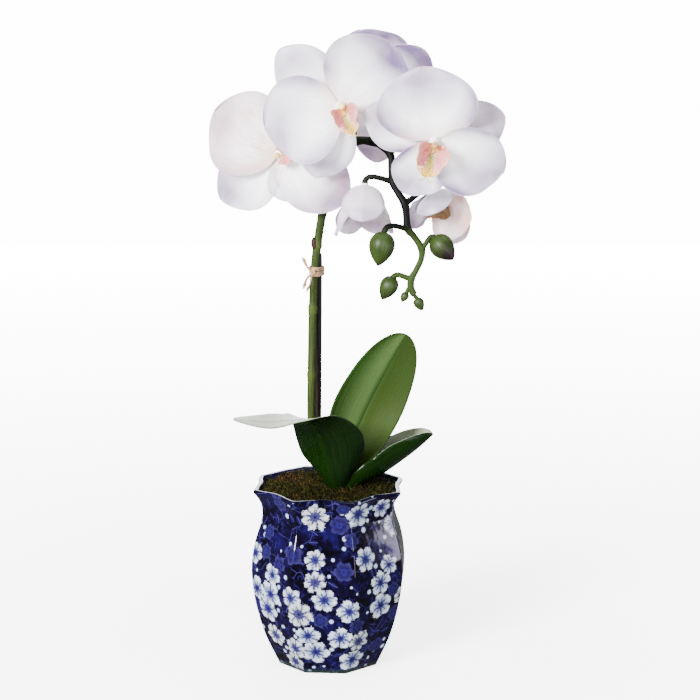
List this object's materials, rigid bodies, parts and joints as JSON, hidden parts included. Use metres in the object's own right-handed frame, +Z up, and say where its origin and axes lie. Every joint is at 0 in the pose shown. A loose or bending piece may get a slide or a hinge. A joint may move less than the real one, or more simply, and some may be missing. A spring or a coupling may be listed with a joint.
{
  "type": "potted moth orchid",
  "caption": "White moth orchid in flower on one arching spike, with strap leaves, stake, raffia tie and moss, in a faceted blue-and-white glazed pot. A plant for a table or sill.",
  "frame": {"origin": "centre of the pot's foot, on the surface it stands on", "axes": "+Z up; -Y is the plant's front, the way most of its blooms face; +X is to the right seen from there, the way the flower spike arches"},
  "size_m": [0.1921, 0.1213, 0.4246],
  "materials": {
    "blue_and_white_glaze": "high-gloss underglaze blue on white",
    "bark_mix": "loose bark chips",
    "dry_moss": "dry, fibrous",
    "leaf": "waxy, satin",
    "green_stem": "satin",
    "bud": "satin",
    "white_petal": "soft, thin",
    "lip": "waxy",
    "column": "waxy",
    "dark_stake": "satin",
    "raffia": "dry fibre"
  },
  "bodies": {
    "root": {"pot": "blue_and_white_glaze", "potting_mix": "bark_mix", "moss": "dry_moss", "leaves": "leaf", "flower_spike": "green_stem", "stake": "dark_stake", "raffia_tie": "raffia", "bloom_a_tepals": "white_petal", "bloom_a_lip": "lip", "bloom_a_column": "column", "bloom_b_tepals": "white_petal", "bloom_b_lip": "lip", "bloom_b_column": "column", "bloom_c_tepals": "white_petal", "bloom_c_lip": "lip", "bloom_c_column": "column", "bloom_d_tepals": "white_petal", "bloom_d_lip": "lip", "bloom_d_column": "column", "bloom_e_tepals": "white_petal", "bloom_e_lip": "lip", "bloom_e_column": "column", "bloom_f_tepals": "white_petal", "bloom_f_lip": "lip", "bloom_f_column": "column", "bud_1": "bud", "bud_2": "bud", "bud_3": "bud", "bud_4": "bud", "bud_5": "bud"}
  },
  "joints": []
}
